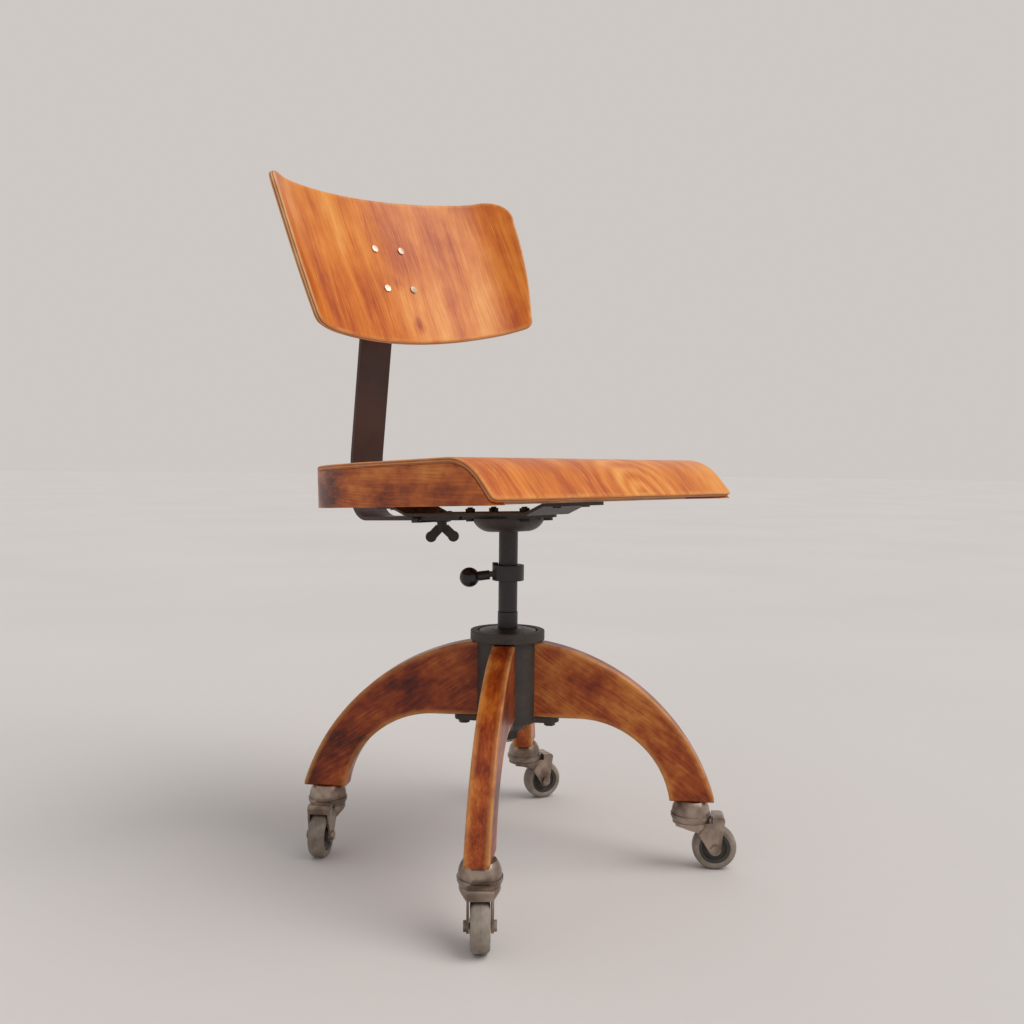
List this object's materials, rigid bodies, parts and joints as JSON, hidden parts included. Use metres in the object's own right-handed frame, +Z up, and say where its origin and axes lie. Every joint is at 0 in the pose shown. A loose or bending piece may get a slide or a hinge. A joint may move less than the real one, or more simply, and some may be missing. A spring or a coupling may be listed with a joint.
{
  "type": "bankers swivel chair",
  "caption": "Low-back wooden swivel chair with a bent ply seat and backrest, steel post and strap, and arched wooden legs on casters.",
  "frame": {"origin": "on the floor under the middle of the chair's overall box", "axes": "+Z up, -Y towards the front of the seat, +X to the right seen from the front"},
  "size_m": [0.4305, 0.4799, 0.8229],
  "materials": {
    "cast_iron": "rough dark brown casting",
    "leg_wood": "red-brown varnish, worn golden edges",
    "steel_fastener": "dull worn steel",
    "bearing_steel": "oily bearing steel",
    "bare_steel": "turned steel",
    "dark_steel": "satin brown-black",
    "knob": "glossy black ball",
    "seat_ply": "amber varnished plywood",
    "apron_wood": "amber varnish, blotched",
    "rail_wood": "plain unvarnished wood",
    "back_ply": "amber varnished plywood",
    "galvanised": "aged galvanised steel",
    "wheel_disc": "dark moulded disc",
    "tyre": "grey rubber"
  },
  "bodies": {
    "base": {"hub_casting": "cast_iron", "leg_rear_right": "leg_wood", "leg_rear_left": "leg_wood", "leg_front_left": "leg_wood", "leg_front_right": "leg_wood", "leg_bolts": "steel_fastener", "bearing_cup": "bearing_steel", "bearing_balls": "bearing_steel", "ball_cage": "bearing_steel", "caster_cap_rear_right": "galvanised", "caster_cap_rear_left": "galvanised", "caster_cap_front_left": "galvanised", "caster_cap_front_right": "galvanised"},
    "swivel": {"spindle": "bare_steel", "lower_sleeve": "dark_steel", "bearing_cone": "bearing_steel", "spindle_washer": "steel_fastener", "spindle_nut": "steel_fastener"},
    "lift": {"post_tube": "dark_steel", "clamp_collar": "dark_steel", "collar_bolt": "steel_fastener", "post_head": "dark_steel", "head_bolts": "steel_fastener", "head_nuts": "steel_fastener", "seat_plate": "dark_steel", "seat_plate_screws": "steel_fastener", "seat_frame": "apron_wood", "seat_shell": "seat_ply", "front_rail": "rail_wood", "rear_rail": "rail_wood", "strap_guide": "dark_steel", "guide_rivets": "steel_fastener"},
    "clamp_lever": {"clamp_lever": "dark_steel", "ball_knob": "knob"},
    "wing_screw": {"wing_screw": "dark_steel"},
    "back_strap": {"back_strap": "dark_steel", "strap_clevis": "dark_steel", "clevis_rivets": "steel_fastener", "pivot_pin": "bare_steel"},
    "backrest": {"backrest_board": "back_ply", "hinge_plate": "dark_steel", "backrest_bolts": "steel_fastener", "backrest_nuts": "steel_fastener"},
    "caster_rear_right": {"caster_fork_rear_right": "galvanised", "caster_axle_rear_right": "galvanised"},
    "wheel_rear_right": {"wheel_core_rear_right": "wheel_disc", "tyre_rear_right": "tyre"},
    "caster_rear_left": {"caster_fork_rear_left": "galvanised", "caster_axle_rear_left": "galvanised"},
    "wheel_rear_left": {"wheel_core_rear_left": "wheel_disc", "tyre_rear_left": "tyre"},
    "caster_front_left": {"caster_fork_front_left": "galvanised", "caster_axle_front_left": "galvanised"},
    "wheel_front_left": {"wheel_core_front_left": "wheel_disc", "tyre_front_left": "tyre"},
    "caster_front_right": {"caster_fork_front_right": "galvanised", "caster_axle_front_right": "galvanised"},
    "wheel_front_right": {"wheel_core_front_right": "wheel_disc", "tyre_front_right": "tyre"}
  },
  "joints": [
    {"name": "seat_swivel", "type": "hinge", "parent": "base", "child": "swivel", "pos_m": [-0.0044, -0.0246, 0.2629], "axis": [0, 0, 1], "continuous": true},
    {"name": "seat_height", "type": "slide", "parent": "swivel", "child": "lift", "axis": [0, 0, 1], "range_m": [0, 0.06]},
    {"name": "clamp_turn", "type": "hinge", "parent": "lift", "child": "clamp_lever", "pos_m": [-0.01482, -0.01381, 0.3326], "axis": [0, 0, 1], "range_deg": [-30, 30]},
    {"name": "wing_screw_turn", "type": "hinge", "parent": "lift", "child": "wing_screw", "pos_m": [-0.0044, 0.08942, 0.38571], "axis": [0, 0.0462, 0.9989], "range_deg": [0, 360]},
    {"name": "back_depth", "type": "slide", "parent": "lift", "child": "back_strap", "axis": [0, 0.9989, -0.0462], "range_m": [0, 0.035]},
    {"name": "back_tilt", "type": "hinge", "parent": "back_strap", "child": "backrest", "pos_m": [-0.0044, 0.20004, 0.7061], "axis": [0.9971, 0, 0.0767], "range_deg": [-8, 12]},
    {"name": "caster_swivel_rear_right", "type": "hinge", "parent": "base", "child": "caster_rear_right", "pos_m": [0.16528, 0.10531, 0.05], "axis": [0, 0, 1], "continuous": true},
    {"name": "wheel_spin_rear_right", "type": "hinge", "parent": "caster_rear_right", "child": "wheel_rear_right", "pos_m": [0.19038, 0.09512, 0.025], "axis": [0.3762, 0.9265, 0], "continuous": true},
    {"name": "caster_swivel_rear_left", "type": "hinge", "parent": "base", "child": "caster_rear_left", "pos_m": [-0.13431, 0.14508, 0.05], "axis": [0, 0, 1], "continuous": true},
    {"name": "wheel_spin_rear_left", "type": "hinge", "parent": "caster_rear_left", "child": "wheel_rear_left", "pos_m": [-0.1561, 0.12896, 0.025], "axis": [0.5948, -0.8039, 0], "continuous": true},
    {"name": "caster_swivel_front_left", "type": "hinge", "parent": "base", "child": "caster_front_left", "pos_m": [-0.17408, -0.15451, 0.05], "axis": [0, 0, 1], "continuous": true},
    {"name": "wheel_spin_front_left", "type": "hinge", "parent": "caster_front_left", "child": "wheel_front_left", "pos_m": [-0.19273, -0.17417, 0.025], "axis": [0.7254, -0.6884, 0], "continuous": true},
    {"name": "caster_swivel_front_right", "type": "hinge", "parent": "base", "child": "caster_front_right", "pos_m": [0.12551, -0.19428, 0.05], "axis": [0, 0, 1], "continuous": true},
    {"name": "wheel_spin_front_right", "type": "hinge", "parent": "caster_front_right", "child": "wheel_front_right", "pos_m": [0.14227, -0.21557, 0.025], "axis": [0.7859, 0.6184, 0], "continuous": true}
  ]
}
